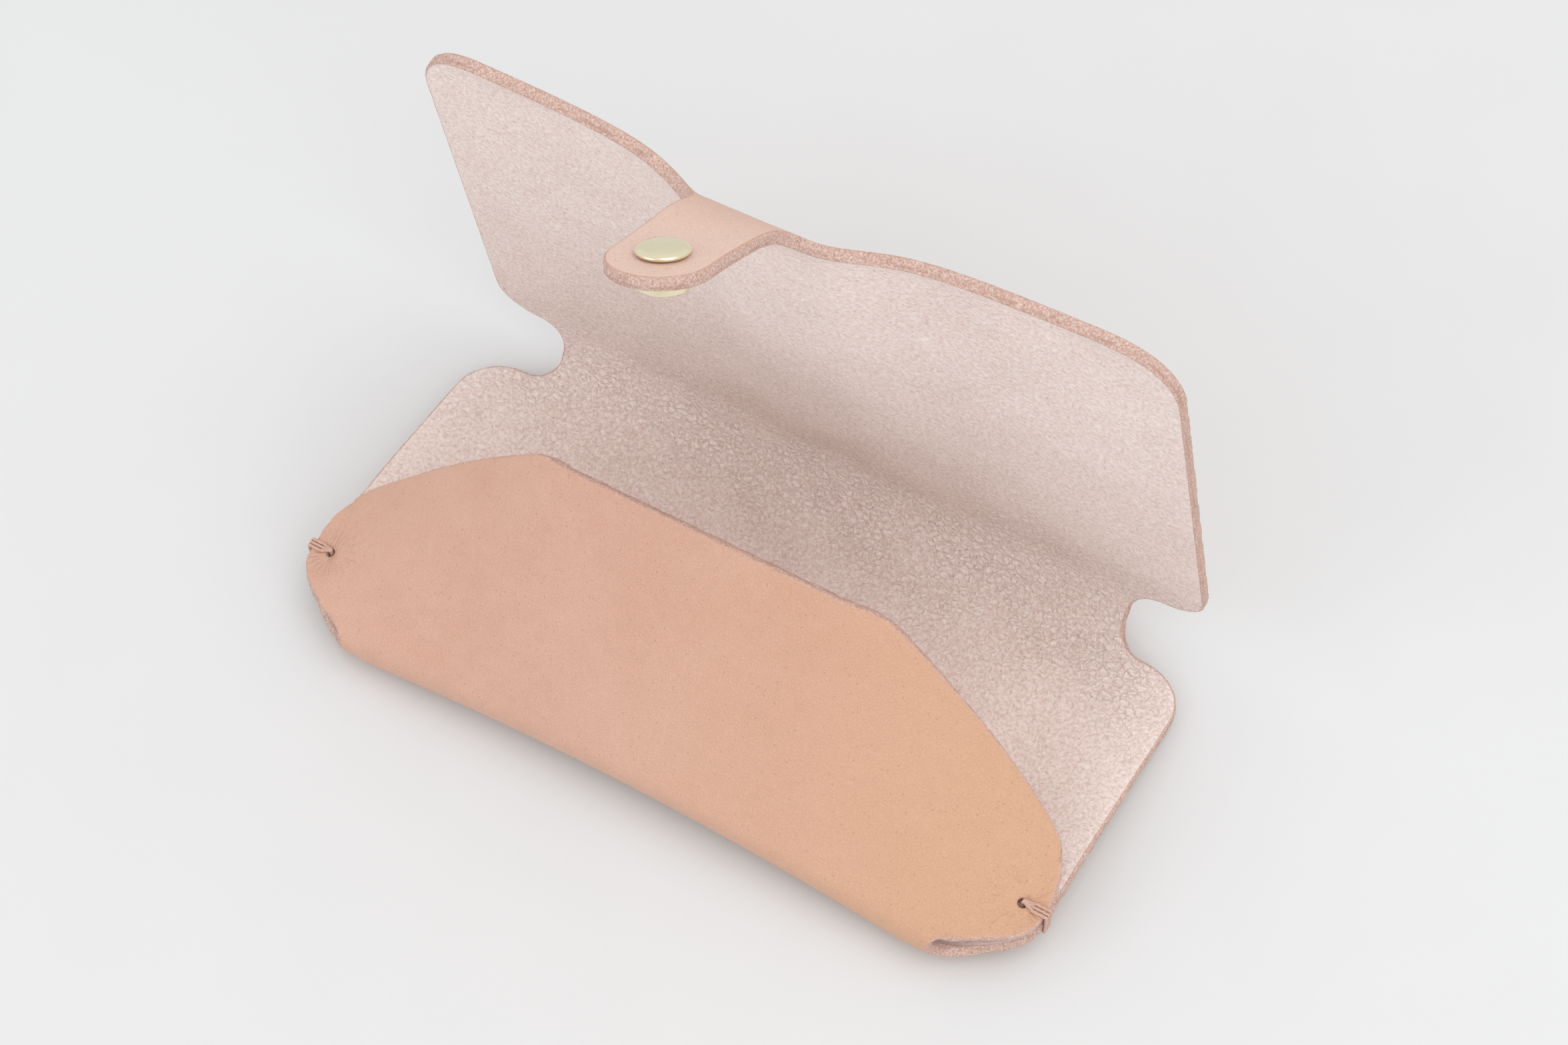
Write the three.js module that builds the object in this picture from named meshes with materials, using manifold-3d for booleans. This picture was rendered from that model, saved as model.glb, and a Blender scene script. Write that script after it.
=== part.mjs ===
// Soft pouch glasses case in thick vegetable-tanned leather, lying on its back with the flap standing open.
// One hide is folded at the bottom into a pocket and at the top into a flap with a closing tab.
// Units are millimetres, +Z is up, +X runs along the folds and +Y points from the bottom fold to the flap fold.
import * as THREE from 'three';
import { mergeVertices } from 'three/addons/utils/BufferGeometryUtils.js';
import Module from 'manifold-3d';

const wasm = await Module();
wasm.setup();

// ---- driving dimensions: the hide ----
const thickness = 2.4;            // leather
const seamGap = 0.3;              // clearance between neighbouring solids
const foldHalfWidth = 66;         // half of the bottom fold, between its two notches
const earHalfWidth = 82.7;        // half of the pocket over its tacked ears
const backHalfWidth = 84.5;       // half of the back panel at its corners by the flap fold
const pocketDepth = 70.8;         // bottom fold to the start of the flap fold, along the table
const pocketMouth = 56;           // bottom fold to the free edge of the front panel, along the leather
const mouthHalfWidth = 37;        // half of the straight part of the front panel's free edge
const earHeight = 28.5;           // bottom fold to the top of an ear, along the leather
const foldRadius = 5.2;           // bottom fold, to the middle of the leather
const hingeRadius = 13.3;         // flap fold, to the middle of the leather
const flapLean = 10.9;            // degrees that the corners of the open flap lean forward of upright
const middleLean = 3.9;           // degrees more that the middle of the flap leans, drawn by the tab
const drawnHalfWidth = 10;        // half of the stretch of flap that follows the tab fully
const drawnFade = 11;             // further out, where half of that extra lean is left
const notchRadius = 7;            // notch at each end of the flap fold
const notchRise = 0.7;            // notch centre past the middle of the flap fold
const notchStretch = 2;           // how much longer than round the notch is, along the leather
const notchHalfWidth = 66.7;      // half of the flap fold between its notches
const flapHalfWidth = 82.3;       // flap at its lower lobes
const flapTaper = 8;              // how much narrower each side is at the free edge
const flapLength = 100.5;         // end of the flap fold to the free edge
const tabHalfWidth = 9;
const tabFillet = 13;             // inside corners between the tab and the free edge
const tabSeam = 5;                // free edge to the line where the tab starts to fold
const tabLength = 44.5;           // free edge to the tip of the tab
const tabAngle = 26;              // degrees above level at the tab's tip
const tabTwist = 13;              // degrees that the tab is turned about its length at the snap
const tabCurlRadius = 31;
const tabCurlStart = 5.5;         // the curl starts this far before the free edge

// ---- driving dimensions: how the filled pocket stands ----
const mouthSlope = 1.17;          // rise of the front panel over its run, at the middle
const earSlope = 0.14;            // the same at the ears
const bulgeHalfWidth = 28;        // the steep middle reaches this far out
const earClearance = 0.8;         // between the lifted back corners and the front panel, where they are tacked
const earLiftFrom = 58;           // half width that stays down between the lifted ears
const tackPull = 1.6;             // dimple that the tack draws into the front panel
const foldBow = 1.5;              // how far the middle of the bottom fold is drawn in

// ---- driving dimensions: snap and tacks ----
const capDiameter = 9;
const capHeight = 1.5;
const snapInset = 9.6;            // snap centre to the tip of the tab
const postDiameter = 3.4;
const socketDiameter = 8.8;
const socketHeight = 2.9;
const studFromFold = 26;          // stud centre to the bottom fold
const studFlange = 9;
const studNub = 4.2;
const studHeight = 3.4;
const eyeletDiameter = 8.4;
const threadDiameter = 0.7;
const tackHoleInset = 5;          // tack hole to the edge of the ear
const tackFromFold = 17;          // tack to the bottom fold, along the leather
const tackHoleDiameter = 1.8;
const strandCount = 3;

// ---- worked-out sizes ----
const half = thickness / 2;
const quarterTurn = Math.PI / 2;
const earLift = 2 * foldRadius - thickness - earClearance;
const { degToRad, smoothstep, clamp, lerp } = THREE.MathUtils;
const backStart = foldRadius * quarterTurn;
const hingeStart = backStart + pocketDepth - foldRadius;
const hingeTurn = degToRad(90 + flapLean);
const hingeLine = hingeStart + hingeRadius * hingeTurn / 2;
const freeEdge = hingeStart + hingeRadius * hingeTurn + flapLength;
const tip = freeEdge + tabLength;
const snapAt = tip - snapInset;
const studRise = studHeight + seamGap;
const bowEnds = 0.55 * (pocketDepth + hingeRadius) + 10;
const tackX = earHalfWidth - tackHoleInset;
const flapFreeHalfWidth = flapHalfWidth - flapTaper;
const seamHalf = seamGap / 2;
const foldSeam = 0.9 * backStart;
const centreY = (pocketDepth + hingeRadius) / 2;

// ---- the flat cut of the hide, as its right-hand half ----

// Rounds the corners of a polyline of [along, across, radius] points.
function roundedOutline(corners) {
  const points = [];
  corners.forEach(([along, across, radius], i) => {
    const corner = new THREE.Vector2(along, across);
    if (!radius) {
      points.push(corner);
      return;
    }
    const before = new THREE.Vector2(...corners[i - 1].slice(0, 2)).sub(corner).normalize();
    const after = new THREE.Vector2(...corners[i + 1].slice(0, 2)).sub(corner).normalize();
    const halfAngle = Math.acos(clamp(before.dot(after), -1, 1)) / 2;
    const middle = before.clone().add(after).normalize();
    const centre = corner.clone().addScaledVector(middle, radius / Math.sin(halfAngle));
    const start = corner.clone().addScaledVector(before, radius / Math.tan(halfAngle)).sub(centre);
    const sweep = (Math.PI - 2 * halfAngle) * -Math.sign(before.cross(after));
    const steps = 12;
    for (let k = 0; k <= steps; k += 1) {
      points.push(start.clone().rotateAround(new THREE.Vector2(), sweep * k / steps).add(centre));
    }
  });
  return points;
}

const foldLobe = tackFromFold - 5.1;
const notchLine = hingeLine + notchRise;
const outline = roundedOutline([
  [-pocketMouth, 0, 0],
  [-pocketMouth, mouthHalfWidth, 14],
  [-earHeight, earHalfWidth, 15],
  [-foldLobe, earHalfWidth, 9],
  [0, foldHalfWidth - 3.5, 4],
  [foldLobe, earHalfWidth, 9],
  [notchLine - notchRadius, backHalfWidth, 10.5],
  [notchLine - notchRadius, notchHalfWidth, notchRadius - 0.1],
  [notchLine + notchRadius + notchStretch, notchHalfWidth, notchRadius - 0.1],
  [notchLine + notchRadius + notchStretch, flapHalfWidth, 8],
  [freeEdge, flapFreeHalfWidth, 15],
  [freeEdge, tabHalfWidth, tabFillet],
  [tip, tabHalfWidth, tabHalfWidth - 0.2],
  [tip, 0, 0],
]);

function halfWidth(along) {
  let widest = 0;
  for (let i = 1; i < outline.length; i += 1) {
    const [a, b] = [outline[i - 1], outline[i]];
    if (along < Math.min(a.x, b.x) || along > Math.max(a.x, b.x)) continue;
    const part = Math.abs(b.x - a.x) < 1e-6 ? 0 : (along - a.x) / (b.x - a.x);
    widest = Math.max(widest, lerp(a.y, b.y, part));
  }
  return widest;
}

// ---- the folded shape of the hide ----

// Follows straight and bent stretches of [length, turn] in the Y-Z plane.
function walk(heading, stretches, distance) {
  let [y, z, left, angle] = [0, half + foldRadius, distance, heading];
  for (const [length, turn] of stretches) {
    const step = Math.min(left, length);
    const bend = turn * step / length;
    const chord = Math.abs(bend) < 1e-9 ? step : 2 * (step / bend) * Math.sin(bend / 2);
    y += chord * Math.cos(angle + bend / 2);
    z += chord * Math.sin(angle + bend / 2);
    angle += bend;
    left -= step;
    if (left <= 0) break;
  }
  return [y, z];
}

// The middle of the flap leans further than its corners, so its turns depend on the place across.
function backStretches(x) {
  const out = Math.max(0, Math.abs(x) - drawnHalfWidth);
  const drawn = degToRad(middleLean) / (1 + (out / drawnFade) ** 2);
  const curl = degToRad(90 - flapLean - tabAngle) - drawn;
  return [
    [backStart, quarterTurn],
    [pocketDepth - foldRadius, 0],
    [hingeRadius * hingeTurn, hingeTurn + drawn],
    [flapLength - tabCurlStart, 0],
    [tabCurlRadius * curl, curl],
    [tabLength, 0],
  ];
}

// Slope of the front panel, steep at the middle and nearly level at the ears.
function frontAngle(x) {
  const out = clamp((Math.abs(x) - bulgeHalfWidth) / (earHalfWidth - 3 - bulgeHalfWidth), 0, 1);
  return Math.atan(lerp(mouthSlope, earSlope, out ** 1.35));
}

// Middle of the leather at a place in the flat cut: x across, along from the bottom fold to the tab.
function middle(x, along) {
  const reach = Math.abs(x);
  const bow = Math.max(0, 1 - (x / foldHalfWidth) ** 2);
  if (along < 0) {
    const turn = quarterTurn - frontAngle(x);
    const fade = 1 - clamp(-along / pocketMouth, 0, 1);
    const [y, z] = walk(quarterTurn, [[foldRadius * turn, -turn], [pocketMouth, 0]], -along);
    const pull = Math.exp(-(((reach - earHalfWidth) / 14) ** 2) - ((along + tackFromFold) / 9) ** 2);
    return new THREE.Vector3(x, y + foldBow * bow * fade, z + studRise * bow * fade - tackPull * pull);
  }
  const [y, z] = walk(-quarterTurn, backStretches(x), along);
  const rise = studRise * bow * (1 - smoothstep(along, studFromFold + 9, bowEnds));
  const ears = earLift * smoothstep(reach, earLiftFrom, backHalfWidth);
  const lift = ears * (1 - smoothstep(along, tackFromFold + 4, hingeLine + 10));
  const drawn = foldBow * bow * (1 - smoothstep(along, 0, 40));
  const twist = degToRad(tabTwist) * smoothstep(along, freeEdge, snapAt);
  const raised = x * Math.sin(twist);
  const level = degToRad(tabAngle);
  return new THREE.Vector3(
    x * Math.cos(twist),
    y + drawn + raised * Math.sin(level),
    z + rise + lift + raised * Math.cos(level),
  );
}

// Unit directions at a place: ahead runs towards the tab, flesh points to the suede side.
function directions(x, along) {
  const step = 0.02;
  const across = middle(x + step, along).sub(middle(x - step, along));
  const ahead = middle(x, along + step).sub(middle(x, along - step)).normalize();
  const flesh = across.cross(ahead).normalize();
  return { ahead, flesh };
}

// A panel of the hide between two places along it, as a closed solid; a nosed panel starts half round.
// endAt gives a far end that changes across, and to is then where its rows are counted to.
function panel(from, to, rows, columns, nosed = false, endAt = () => to) {
  const positions = [];
  const faces = [];
  const place = (point) => positions.push(point.x, point.y, point.z) / 3 - 1;
  const quad = (a, b, c, d) => faces.push(a, b, c, a, c, d);
  const grid = [];
  for (let i = 0; i <= rows; i += 1) {
    const part = (1 - Math.cos(Math.PI * i / rows)) / 2;
    const width = halfWidth(lerp(from, to, part));
    grid.push(Array.from({ length: columns + 1 }, (_, j) => {
      const x = width * (2 * j / columns - 1);
      const along = lerp(from, endAt(x), part);
      const centre = middle(x, along);
      const { ahead, flesh } = directions(x, along);
      const round = nosed && i === 0 ? [150, 120, 90, 60, 30].map((angle) => {
        const [up, back] = [-Math.cos(degToRad(angle)), Math.sin(degToRad(angle))];
        return place(centre.clone().addScaledVector(flesh, up * half).addScaledVector(ahead, -back * half));
      }) : [];
      const top = place(centre.clone().addScaledVector(flesh, half));
      const bottom = place(centre.clone().addScaledVector(flesh, -half));
      return { top, bottom, rim: [top, ...round, bottom] };
    }));
  }
  for (let i = 0; i < rows; i += 1) {
    for (let j = 0; j < columns; j += 1) {
      const [a, b, c, d] = [grid[i][j], grid[i][j + 1], grid[i + 1][j + 1], grid[i + 1][j]];
      quad(a.top, b.top, c.top, d.top);
      quad(a.bottom, d.bottom, c.bottom, b.bottom);
    }
    const [left, leftNext] = [grid[i][0], grid[i + 1][0]];
    const [right, rightNext] = [grid[i][columns], grid[i + 1][columns]];
    quad(left.bottom, left.top, leftNext.top, leftNext.bottom);
    quad(right.top, right.bottom, rightNext.bottom, rightNext.top);
  }
  for (let j = 0; j < columns; j += 1) {
    const [a, b] = [grid[0][j], grid[0][j + 1]];
    for (let k = 1; k < a.rim.length; k += 1) quad(a.rim[k - 1], a.rim[k], b.rim[k], b.rim[k - 1]);
    const [c, d] = [grid[rows][j], grid[rows][j + 1]];
    quad(c.top, d.top, d.bottom, c.bottom);
  }
  for (const [rim, turned] of [[grid[0][0].rim, true], [grid[0][columns].rim, false]]) {
    for (let k = 1; k < rim.length - 1; k += 1) {
      faces.push(...(turned ? [rim[0], rim[k + 1], rim[k]] : [rim[0], rim[k], rim[k + 1]]));
    }
  }
  const geometry = new THREE.BufferGeometry();
  geometry.setAttribute('position', new THREE.Float32BufferAttribute(positions, 3));
  geometry.setIndex(faces);
  return geometry;
}

// ---- joining and cutting ----

function toSolid(geometry) {
  const bare = geometry.clone();
  bare.deleteAttribute('normal');
  bare.deleteAttribute('uv');
  const merged = mergeVertices(bare, 1e-4);
  const triVerts = new Uint32Array(merged.index.array);
  const vertProperties = new Float32Array(merged.attributes.position.array);
  return new wasm.Manifold(new wasm.Mesh({ numProp: 3, vertProperties, triVerts }));
}

function toGeometry(solid) {
  const mesh = solid.getMesh();
  const geometry = new THREE.BufferGeometry();
  geometry.setAttribute('position', new THREE.BufferAttribute(mesh.vertProperties, 3));
  geometry.setIndex(new THREE.BufferAttribute(mesh.triVerts, 1));
  return geometry;
}

function cut(geometry, cutters) {
  return toGeometry(cutters.reduce((solid, cutter) => solid.subtract(toSolid(cutter)), toSolid(geometry)));
}

function join(geometries) {
  return toGeometry(geometries.map(toSolid).reduce((sum, solid) => sum.add(solid)));
}

// ---- snap fastener: turned pieces, +Y is away from the leather's far side ----

const postRadius = postDiameter / 2;
const postHole = postRadius + seamGap;
const socketFloor = 0.6;
const socketCavity = socketDiameter / 2 - 0.7;
const socketMouth = studNub / 2 + 0.45;
const flareHeight = 0.4;
const springWire = 0.5;

function turned(profile, segments = 36) {
  const points = profile.map(([radius, height]) => new THREE.Vector2(radius, height));
  return new THREE.LatheGeometry(points, segments);
}

// The cap sits on the grain side at height 0; its post runs down through the leather into the socket.
function capShape() {
  const radius = capDiameter / 2;
  const bottom = seamGap;
  const postEnd = -(thickness + 2 * seamGap + socketFloor + flareHeight);
  return turned([
    [0, postEnd],
    [postRadius + 0.8, postEnd],
    [postRadius + 0.8, postEnd + flareHeight],
    [postRadius, postEnd + flareHeight],
    [postRadius, bottom + 0.3],
    [radius - 0.9, bottom + 0.3],
    [radius - 0.9, bottom],
    [radius - 0.2, bottom],
    [radius, bottom + 0.3],
    [radius, bottom + 0.75],
    [radius - 0.3, bottom + 1.02],
    [radius - 0.8, capHeight - 0.2],
    [radius * 0.45, capHeight - 0.03],
    [0, capHeight],
  ]);
}

// The socket hangs on the flesh side: a floor against the leather, a wall and an inturned mouth.
function socketShape() {
  const radius = socketDiameter / 2;
  const top = -(thickness + seamGap);
  const floor = top - socketFloor;
  const mouth = top - socketHeight;
  return turned([
    [postHole, top],
    [postHole, floor],
    [socketCavity, floor],
    [socketCavity, mouth + 0.5],
    [socketMouth, mouth + 0.5],
    [socketMouth, mouth],
    [radius - 0.5, mouth],
    [radius - 0.1, mouth + 0.5],
    [radius - 0.1, floor],
    [radius, floor],
    [radius, top],
    [postHole, top],
  ]);
}

// A split ring of spring wire inside the socket, behind its mouth.
function springShape() {
  const gap = degToRad(14);
  const radius = socketCavity - seamGap - springWire / 2;
  const level = -(thickness + seamGap + socketHeight) + 0.5 + seamGap + springWire / 2;
  const points = Array.from({ length: 33 }, (_, i) => {
    const angle = lerp(gap, 2 * Math.PI - gap, i / 32);
    return new THREE.Vector3(radius * Math.cos(angle), level, radius * Math.sin(angle));
  });
  return tube(points, springWire / 2, 40, 8);
}

// The stud hangs under the back panel: flange, neck and rounded nub, with a bore for the eyelet's post.
function studShape() {
  const [flange, nub, neck] = [studFlange / 2, studNub / 2, studNub / 2 - 0.35];
  const top = -seamGap;
  const bottom = top - studHeight;
  const bore = eyeletPost + seamGap;
  return turned([
    [bore, top],
    [bore, bottom],
    [nub - 0.4, bottom],
    [nub, bottom + 0.5],
    [nub, bottom + 1.1],
    [neck, bottom + 1.6],
    [neck, top - 0.75],
    [flange - 0.3, top - 0.6],
    [flange, top - 0.3],
    [flange, top],
    [bore, top],
  ]);
}

// The eyelet's head lies on the flesh side inside the pocket and its post runs down into the stud.
const eyeletPost = 1.25;
function eyeletShape() {
  const radius = eyeletDiameter / 2;
  const bottom = thickness + seamGap;
  return turned([
    [0, -studHeight],
    [eyeletPost, -studHeight],
    [eyeletPost, bottom],
    [radius - 0.2, bottom],
    [radius, bottom + 0.15],
    [radius - 0.25, bottom + 0.4],
    [radius - 1.4, bottom + 0.6],
    [0, bottom + 0.65],
  ]);
}

// ---- thread ----

function tube(points, radius, steps, sides = 10) {
  const ring = Array.from({ length: sides }, (_, i) => {
    const angle = 2 * Math.PI * i / sides;
    return new THREE.Vector2(radius * Math.cos(angle), radius * Math.sin(angle));
  });
  const path = new THREE.CatmullRomCurve3(points, false, 'catmullrom', 0.35);
  return new THREE.ExtrudeGeometry(new THREE.Shape(ring), { steps, extrudePath: path, bevelEnabled: false });
}

// A tack: strands that leave one hole, fan out over both edges and come back to the hole underneath.
function tackShape(side) {
  const radius = threadDiameter / 2;
  const clear = seamGap + radius + 0.3;
  const front = middle(side * tackX, -tackFromFold);
  const back = middle(side * tackX, tackFromFold);
  const holeY = (front.y + back.y) / 2;
  const core = new THREE.CylinderGeometry(threadDiameter * 0.8, threadDiameter * 0.8, front.z - back.z, 16);
  core.rotateX(quarterTurn);
  core.translate(front.x, holeY, (front.z + back.z) / 2);
  const skin = (x, face, fan, off) => {
    const along = face * (tackFromFold + fan);
    const { flesh } = directions(side * x, along);
    return middle(side * x, along).addScaledVector(flesh, -off).setY(holeY + fan);
  };
  const strands = Array.from({ length: strandCount }, (_, i) => {
    const fan = (i - (strandCount - 1) / 2) * threadDiameter * 1.12;
    const edge = (face) => halfWidth(face * (tackFromFold + fan));
    const widest = Math.max(edge(-1), edge(1)) + clear;
    const beside = (face) => skin(edge(face), face, fan, half).setX(side * widest);
    const face = (sign) => [
      skin(tackX, sign, fan * 0.2, half + clear + 0.2),
      skin(tackX + 1.2, sign, fan * 0.6, half + clear + 0.1),
      skin(tackX + 2.6, sign, fan, half + clear),
      skin(tackX + 4, sign, fan, half + clear),
      skin(edge(sign) - 0.1, sign, fan, half + clear),
      beside(sign),
    ];
    const start = new THREE.Vector3(front.x, holeY, front.z - half);
    const end = new THREE.Vector3(back.x, holeY, back.z + half);
    return tube([start, ...face(-1), ...face(1).reverse(), end], radius, 40, 8);
  });
  return join([core, ...strands]);
}

// ---- materials ----

const leather = new THREE.MeshStandardMaterial({ color: 0xd9a88a, roughness: 0.62, metalness: 0 });
const brass = new THREE.MeshStandardMaterial({ color: 0xd8c98f, roughness: 0.28, metalness: 1 });
const steel = new THREE.MeshStandardMaterial({ color: 0xb9bbbd, roughness: 0.35, metalness: 1 });
const thread = new THREE.MeshStandardMaterial({ color: 0xb07b68, roughness: 0.7, metalness: 0 });

// ---- assembly ----

const glassesCase = new THREE.Group();
glassesCase.position.y = -centreY;

function add(name, geometry, material, parent = glassesCase) {
  const mesh = new THREE.Mesh(geometry, material);
  mesh.name = name;
  parent.add(mesh);
}

// A group whose +Y stands on the grain side of the leather at a place in the flat cut.
function standOnGrain(along) {
  const { flesh } = directions(0, along);
  const group = new THREE.Group();
  group.position.copy(middle(0, along)).addScaledVector(flesh, -half);
  group.quaternion.setFromUnitVectors(new THREE.Vector3(0, 1, 0), flesh.negate());
  glassesCase.add(group);
  return group;
}

const capSide = standOnGrain(snapAt);
const studAlong = backStart + studFromFold - foldRadius;
const studCentre = middle(0, studAlong);

function hole(radius, x, y, z, turn = quarterTurn) {
  const drill = new THREE.CylinderGeometry(radius, radius, 6 * thickness, 32);
  drill.rotateX(turn);
  return drill.translate(x, y, z);
}

const tackHoles = (along) => [-1, 1].map((side) => {
  const front = middle(side * tackX, -tackFromFold);
  const back = middle(side * tackX, tackFromFold);
  const level = along < 0 ? front.z + thickness : back.z - thickness;
  return hole(tackHoleDiameter / 2, front.x, (front.y + back.y) / 2, level);
});

const nose = half + seamGap;

// Where the flap ends at a place across: its free edge, or up the fillets to the fold of the tab.
function flapEnd(x) {
  const inset = Math.max(0, tabHalfWidth + tabFillet - Math.abs(x));
  const rise = tabFillet - Math.sqrt(Math.max(0, tabFillet ** 2 - inset ** 2));
  return freeEdge + Math.min(rise, tabSeam - nose);
}

const frontPanel = panel(-pocketMouth, -foldSeam - seamHalf, 20, 28);
const backPanel = panel(foldSeam + seamHalf, hingeLine - nose, 22, 28);
const closingTab = panel(freeEdge + tabSeam, tip - 0.04, 18, 10, true);
const capDrill = new THREE.CylinderGeometry(postHole, postHole, 3 * thickness, 32);
capDrill.applyQuaternion(capSide.quaternion).translate(...capSide.position.toArray());

add('front_panel', cut(frontPanel, tackHoles(-1)), leather);
add('bottom_fold', panel(-foldSeam + seamHalf, foldSeam - seamHalf, 8, 26), leather);
add('back_panel', cut(backPanel, [
  ...tackHoles(1),
  hole(eyeletPost + seamGap, studCentre.x, studCentre.y, studCentre.z),
]), leather);
add('flap', panel(hingeLine, freeEdge, 22, 48, true, flapEnd), leather);
add('closing_tab', cut(closingTab, [capDrill]), leather);
add('thread_tack_left', tackShape(-1), thread);
add('thread_tack_right', tackShape(1), thread);
add('snap_cap', capShape(), brass, capSide);
add('snap_socket', socketShape(), brass, capSide);
add('socket_spring', springShape(), steel, capSide);

const studSide = new THREE.Group();
studSide.position.copy(studCentre).add(new THREE.Vector3(0, 0, -half));
studSide.rotation.x = quarterTurn;
glassesCase.add(studSide);
add('snap_stud', studShape(), brass, studSide);
add('stud_eyelet', eyeletShape(), brass, studSide);

export default glassesCase;
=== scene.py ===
# Soft pouch glasses case: the hide folded into pocket, flap and closing tab, its stitched tacks and its snap.
# Flat-cut places are (across, along) in millimetres, along running from the bottom fold towards the tab.
# Heights in the leather run from the grain side, below zero, to the suede flesh side, above zero.
import math

import bpy
import numpy as np
from mathutils import Matrix, Vector
from mathutils.geometry import delaunay_2d_cdt


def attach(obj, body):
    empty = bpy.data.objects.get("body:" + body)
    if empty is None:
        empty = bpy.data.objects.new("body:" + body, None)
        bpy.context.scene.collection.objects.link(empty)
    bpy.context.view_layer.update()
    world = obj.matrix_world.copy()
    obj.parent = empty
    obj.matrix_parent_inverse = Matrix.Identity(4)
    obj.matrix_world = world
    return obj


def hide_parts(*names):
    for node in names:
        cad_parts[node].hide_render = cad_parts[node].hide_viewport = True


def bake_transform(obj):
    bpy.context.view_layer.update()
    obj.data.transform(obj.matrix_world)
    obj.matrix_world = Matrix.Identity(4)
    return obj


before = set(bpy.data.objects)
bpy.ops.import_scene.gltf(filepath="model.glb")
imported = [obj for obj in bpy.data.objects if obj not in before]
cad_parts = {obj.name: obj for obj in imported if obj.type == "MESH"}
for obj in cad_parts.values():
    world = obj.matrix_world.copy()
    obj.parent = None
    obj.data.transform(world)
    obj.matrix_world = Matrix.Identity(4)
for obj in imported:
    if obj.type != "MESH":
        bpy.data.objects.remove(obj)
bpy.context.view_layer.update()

MM = 0.001

# ---- the hide ----
THICKNESS = 2.4
SEAM_GAP = 0.3
FOLD_HALF_WIDTH = 66.0
EAR_HALF_WIDTH = 82.7
BACK_HALF_WIDTH = 84.5
POCKET_DEPTH = 70.8
POCKET_MOUTH = 56.0
MOUTH_HALF_WIDTH = 37.0
EAR_HEIGHT = 28.5
FOLD_RADIUS = 5.2
HINGE_RADIUS = 13.3
FLAP_LEAN = math.radians(10.9)
MIDDLE_LEAN = math.radians(3.9)
DRAWN_HALF_WIDTH = 10.0
DRAWN_FADE = 11.0
NOTCH_RADIUS = 7.0
NOTCH_RISE = 0.7
NOTCH_STRETCH = 2.0
NOTCH_HALF_WIDTH = 66.7
FLAP_HALF_WIDTH = 82.3
FLAP_FREE_HALF_WIDTH = 74.3
FLAP_LENGTH = 100.5
TAB_HALF_WIDTH = 9.0
TAB_LENGTH = 44.5
TAB_ANGLE = math.radians(26)
TAB_TWIST = math.radians(13)
TAB_CURL_RADIUS = 31.0
TAB_CURL_START = 5.5
TAB_FILLET = 13.0
TAB_SEAM = 5.0                  # the tab is a piece of its own from this far past the free edge

# ---- how the pocket stands ----
MOUTH_SLOPE = 1.17
EAR_SLOPE = 0.14
BULGE_HALF_WIDTH = 28.0
EAR_LIFT = 7.2
EAR_LIFT_FROM = 58.0
TACK_PULL = 1.6
FOLD_BOW = 1.5

# ---- snap and tacks ----
CAP_RADIUS = 4.5
CAP_HEIGHT = 1.5
SNAP_INSET = 9.6
POST_RADIUS = 1.7
SOCKET_RADIUS = 4.4
SOCKET_HEIGHT = 2.9
STUD_FROM_FOLD = 26.0
STUD_FLANGE = 4.5
STUD_NUB = 2.1
STUD_HEIGHT = 3.4
EYELET_RADIUS = 4.2
EYELET_POST = 1.25
THREAD_RADIUS = 0.35
TACK_HOLE_INSET = 5.0
TACK_FROM_FOLD = 17.0
TACK_HOLE_RADIUS = 0.9
STRAND_COUNT = 3

# ---- worked-out sizes ----
HALF = THICKNESS / 2
QUARTER_TURN = math.pi / 2
BACK_START = FOLD_RADIUS * QUARTER_TURN
HINGE_START = BACK_START + POCKET_DEPTH - FOLD_RADIUS
HINGE_TURN = QUARTER_TURN + FLAP_LEAN
HINGE_LINE = HINGE_START + HINGE_RADIUS * HINGE_TURN / 2
FREE_EDGE = HINGE_START + HINGE_RADIUS * HINGE_TURN + FLAP_LENGTH
TIP = FREE_EDGE + TAB_LENGTH
SNAP_AT = TIP - SNAP_INSET
STUD_AT = BACK_START + STUD_FROM_FOLD - FOLD_RADIUS
STUD_RISE = STUD_HEIGHT + SEAM_GAP
BOW_ENDS = 0.55 * (POCKET_DEPTH + HINGE_RADIUS) + 10
TACK_X = EAR_HALF_WIDTH - TACK_HOLE_INSET
CENTRE_Y = (POCKET_DEPTH + HINGE_RADIUS) / 2


def smoothstep(value, low, high):
    t = np.clip((value - low) / (high - low), 0, 1)
    return t * t * (3 - 2 * t)


# ---- the flat cut, as a closed outline of (across, along) ----

def rounded(corners, steps=16):
    """A polyline of (across, along, radius) corners with each corner rounded to its radius."""
    points = []
    for i, (across, along, radius) in enumerate(corners):
        corner = Vector((across, along))
        if not radius:
            points.append(corner)
            continue
        before = (Vector(corners[i - 1][:2]) - corner).normalized()
        after = (Vector(corners[i + 1][:2]) - corner).normalized()
        half_angle = math.acos(max(-1, min(1, before.dot(after)))) / 2
        centre = corner + (before + after).normalized() * radius / math.sin(half_angle)
        start = corner + before * radius / math.tan(half_angle) - centre
        sweep = (math.pi - 2 * half_angle) * -math.copysign(1, before.x * after.y - before.y * after.x)
        for k in range(steps + 1):
            points.append(centre + Matrix.Rotation(sweep * k / steps, 2) @ start)
    return np.array([tuple(p) for p in points])


def evenly(points, spacing):
    """The polyline's points again, at an even spacing, with both ends kept."""
    lengths = np.r_[0, np.cumsum(np.linalg.norm(np.diff(points, axis=0), axis=1))]
    count = max(2, round(lengths[-1] / spacing))
    places = np.linspace(0, lengths[-1], count + 1)
    return np.stack([np.interp(places, lengths, points[:, k]) for k in range(2)], 1)


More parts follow.
